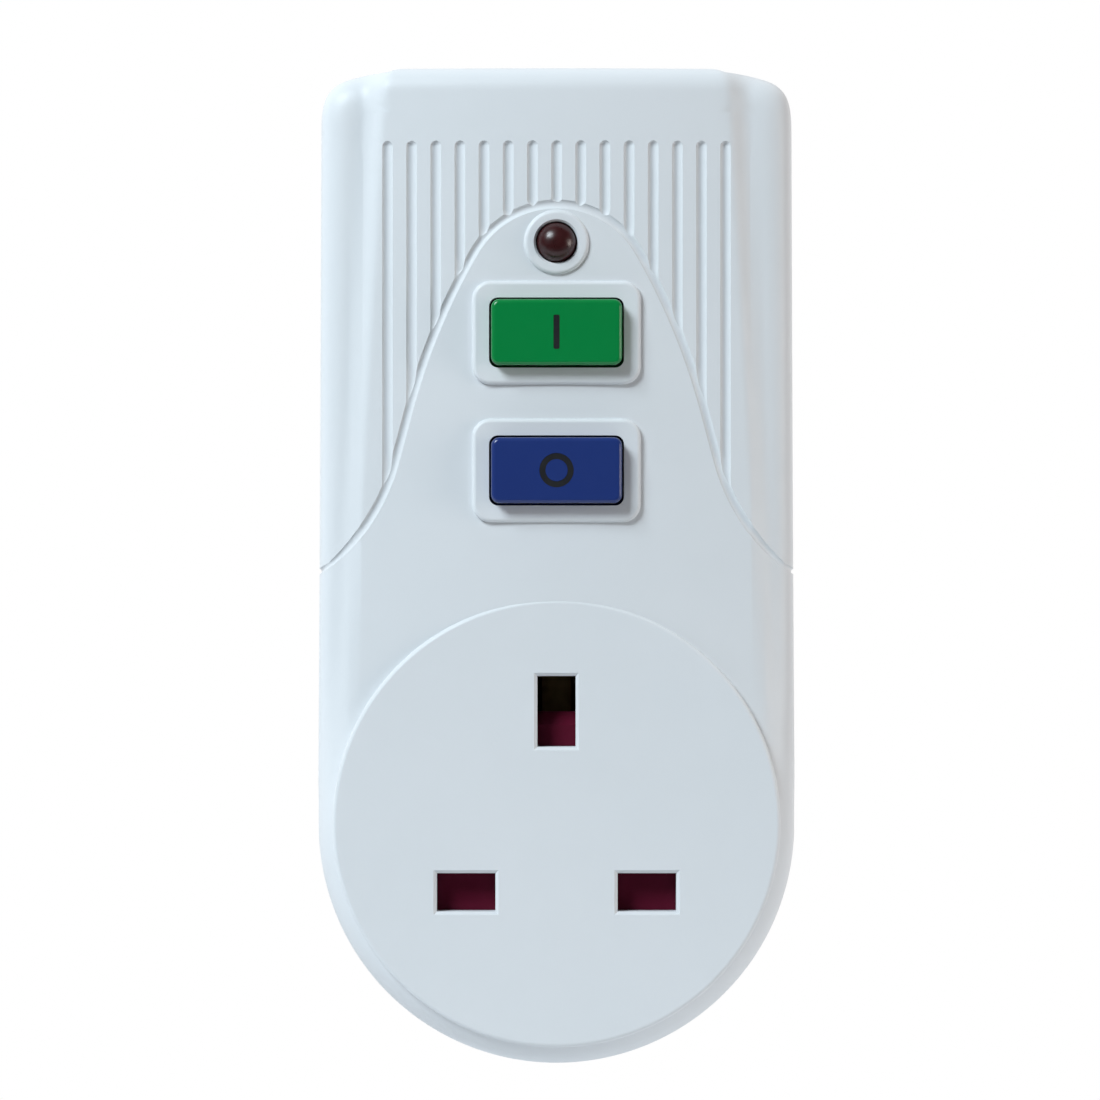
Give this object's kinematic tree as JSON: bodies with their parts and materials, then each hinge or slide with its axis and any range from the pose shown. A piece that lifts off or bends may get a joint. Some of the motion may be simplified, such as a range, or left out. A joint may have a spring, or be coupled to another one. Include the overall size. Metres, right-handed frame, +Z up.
{
  "type": "rcd adapter plug",
  "caption": "White plug-in residual current adaptor with a shuttered socket face below, a grooved raised front band, a green reset button, a blue test button and a red lamp.",
  "frame": {"origin": "the point on the flat rear face behind the centre of the round socket face", "axes": "seen from the front +X is right and +Z is up, the front faces -Y and the plug pins point along +Y into the wall socket"},
  "size_m": [0.059, 0.0683, 0.1231],
  "materials": {
    "white_case": "satin cool white moulding",
    "green_plastic": "satin green moulding",
    "navy_plastic": "satin blue moulding",
    "maroon_plastic": "matte maroon moulding",
    "red_lens": "polished dark red lens",
    "black_plastic": "matte black moulding",
    "ivory_plastic": "matte natural moulding",
    "grey_plastic": "matte dark grey moulding",
    "blue_plastic": "gloss blue coating",
    "brass": "plain machined brass",
    "steel": "zinc plated steel",
    "contact_silver": "silver contact rivet",
    "copper": "enamelled copper winding",
    "ferrite": "sintered grey core",
    "board": "green circuit board",
    "tan_coat": "tan coating"
  },
  "bodies": {
    "case": {"rear_base": "white_case", "front_cover": "white_case", "case_screws": "steel", "earth_pin": "brass", "live_pin": "brass", "neutral_pin": "brass", "live_sleeve": "black_plastic", "neutral_sleeve": "black_plastic", "pin_retainer": "ivory_plastic", "retainer_screws": "steel", "insulating_barrier": "ivory_plastic", "contact_block": "ivory_plastic", "block_screws": "steel", "live_contact": "brass", "neutral_contact": "brass", "earth_contact": "brass", "shutter_spring": "steel", "live_line_bar": "brass", "neutral_line_bar": "brass", "live_load_bar": "brass", "neutral_load_bar": "brass", "fixed_tips": "contact_silver", "sensing_ring_case": "blue_plastic", "sensing_ring_core": "ferrite", "circuit_board": "board", "board_screws": "steel", "switch_base": "grey_plastic", "carriage_springs": "steel", "coil_bobbin": "ivory_plastic", "coil_winding": "copper", "magnet_yoke": "steel", "control_chip": "black_plastic", "thyristor": "black_plastic", "varistor": "blue_plastic", "capacitor": "blue_plastic", "resistors": "tan_coat", "diodes": "black_plastic", "lamp_lens": "red_lens", "lamp_leads": "steel", "guide_plate": "ivory_plastic", "guide_screws": "steel", "reset_spring": "steel", "test_spring": "steel", "test_terminals": "brass"},
    "reset": {"reset_button": "green_plastic"},
    "test": {"test_button": "navy_plastic", "test_bridge": "brass"},
    "carriage": {"contact_carriage": "grey_plastic", "moving_blades": "brass", "moving_tips": "contact_silver", "armature": "steel"},
    "shutter_slider": {"shutter": "maroon_plastic"}
  },
  "joints": [
    {"name": "reset_press", "type": "slide", "parent": "case", "child": "reset", "axis": [0, 1, 0], "range_m": [0, 0.003], "stiffness_N_per_m": 600, "springref_m": -0.002, "deforming": ["reset_spring"]},
    {"name": "test_press", "type": "slide", "parent": "case", "child": "test", "axis": [0, 1, 0], "range_m": [0, 0.002], "stiffness_N_per_m": 600, "springref_m": -0.002, "deforming": ["test_spring"]},
    {"name": "contact_close", "type": "slide", "parent": "case", "child": "carriage", "axis": [0, 1, 0], "range_m": [0, 0.003], "stiffness_N_per_m": 300, "springref_m": -0.002, "deforming": ["carriage_springs"]},
    {"name": "shutter_open", "type": "slide", "parent": "case", "child": "shutter_slider", "axis": [0, 0, -1], "range_m": [0, 0.0062], "stiffness_N_per_m": 200, "springref_m": -0.004, "deforming": ["shutter_spring"]}
  ],
  "couplings": [
    {"joint": "contact_close", "follows": "reset_press", "ratio": 1}
  ]
}
